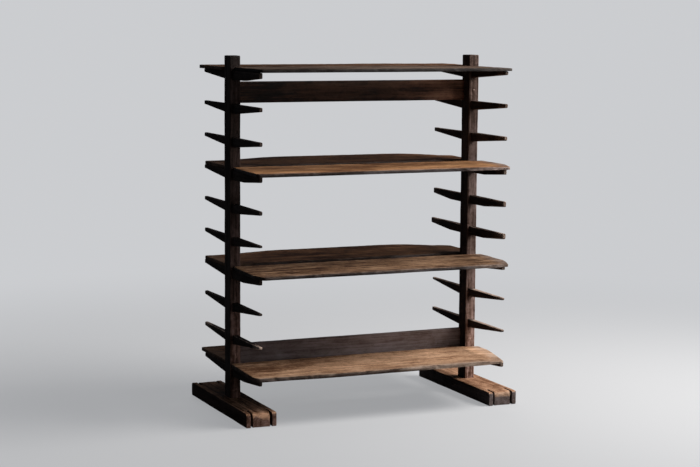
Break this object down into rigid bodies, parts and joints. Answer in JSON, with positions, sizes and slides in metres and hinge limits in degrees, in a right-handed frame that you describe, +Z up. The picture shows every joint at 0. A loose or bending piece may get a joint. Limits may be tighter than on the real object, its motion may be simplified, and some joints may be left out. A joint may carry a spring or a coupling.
{
  "type": "cheese ripening rack",
  "caption": "Free-standing timber ripening rack: footed posts joined by rails, with tapered through arms that carry loose shelf boards in front and behind.",
  "frame": {"origin": "on the floor, midway between the posts", "axes": "+X along the rack to the right seen from the front, -Y towards the front, +Z up"},
  "size_m": [1.414, 0.88, 1.7],
  "materials": {
    "post_timber": "bare aged timber, worn and unvarnished",
    "foot_timber": "bare aged timber, worn and unvarnished",
    "arm_timber": "bare aged timber, worn and unvarnished",
    "top_rail_timber": "bare aged timber, worn and unvarnished",
    "bottom_rail_timber": "bare aged timber, worn and unvarnished",
    "front_board_timber": "bare aged timber, worn and unvarnished",
    "rear_board_timber": "bare aged timber, worn and unvarnished",
    "peg_timber": "bare aged timber, worn and unvarnished"
  },
  "bodies": {
    "frame": {"left_post": "post_timber", "left_foot": "foot_timber", "left_arm_1": "arm_timber", "left_arm_2": "arm_timber", "left_arm_3": "arm_timber", "left_arm_4": "arm_timber", "left_arm_5": "arm_timber", "left_arm_6": "arm_timber", "left_arm_7": "arm_timber", "left_arm_8": "arm_timber", "left_arm_9": "arm_timber", "left_arm_10": "arm_timber", "right_post": "post_timber", "right_foot": "foot_timber", "right_arm_1": "arm_timber", "right_arm_2": "arm_timber", "right_arm_3": "arm_timber", "right_arm_4": "arm_timber", "right_arm_5": "arm_timber", "right_arm_6": "arm_timber", "right_arm_7": "arm_timber", "right_arm_8": "arm_timber", "right_arm_9": "arm_timber", "right_arm_10": "arm_timber", "top_rail": "top_rail_timber", "bottom_rail": "bottom_rail_timber", "rail_pegs": "peg_timber", "foot_pegs": "peg_timber"},
    "shelf_1_front": {"shelf_1_front_board": "front_board_timber"},
    "shelf_1_rear": {"shelf_1_rear_board": "rear_board_timber"},
    "shelf_2_front": {"shelf_2_front_board": "front_board_timber"},
    "shelf_2_rear": {"shelf_2_rear_board": "rear_board_timber"},
    "shelf_3_front": {"shelf_3_front_board": "front_board_timber"},
    "shelf_3_rear": {"shelf_3_rear_board": "rear_board_timber"},
    "shelf_4_front": {"shelf_4_front_board": "front_board_timber"},
    "shelf_4_rear": {"shelf_4_rear_board": "rear_board_timber"}
  },
  "joints": [
    {"name": "shelf_1_front_slide", "type": "slide", "parent": "frame", "child": "shelf_1_front", "axis": [0, -1, 0], "range_m": [0, 0.37]},
    {"name": "shelf_1_rear_slide", "type": "slide", "parent": "frame", "child": "shelf_1_rear", "axis": [0, 1, 0], "range_m": [0, 0.36]},
    {"name": "shelf_2_front_slide", "type": "slide", "parent": "frame", "child": "shelf_2_front", "axis": [0, -1, 0], "range_m": [0, 0.37]},
    {"name": "shelf_2_rear_slide", "type": "slide", "parent": "frame", "child": "shelf_2_rear", "axis": [0, 1, 0], "range_m": [0, 0.36]},
    {"name": "shelf_3_front_slide", "type": "slide", "parent": "frame", "child": "shelf_3_front", "axis": [0, -1, 0], "range_m": [0, 0.37]},
    {"name": "shelf_3_rear_slide", "type": "slide", "parent": "frame", "child": "shelf_3_rear", "axis": [0, 1, 0], "range_m": [0, 0.36]},
    {"name": "shelf_4_front_slide", "type": "slide", "parent": "frame", "child": "shelf_4_front", "axis": [0, -1, 0], "range_m": [0, 0.37]},
    {"name": "shelf_4_rear_slide", "type": "slide", "parent": "frame", "child": "shelf_4_rear", "axis": [0, 1, 0], "range_m": [0, 0.36]}
  ]
}
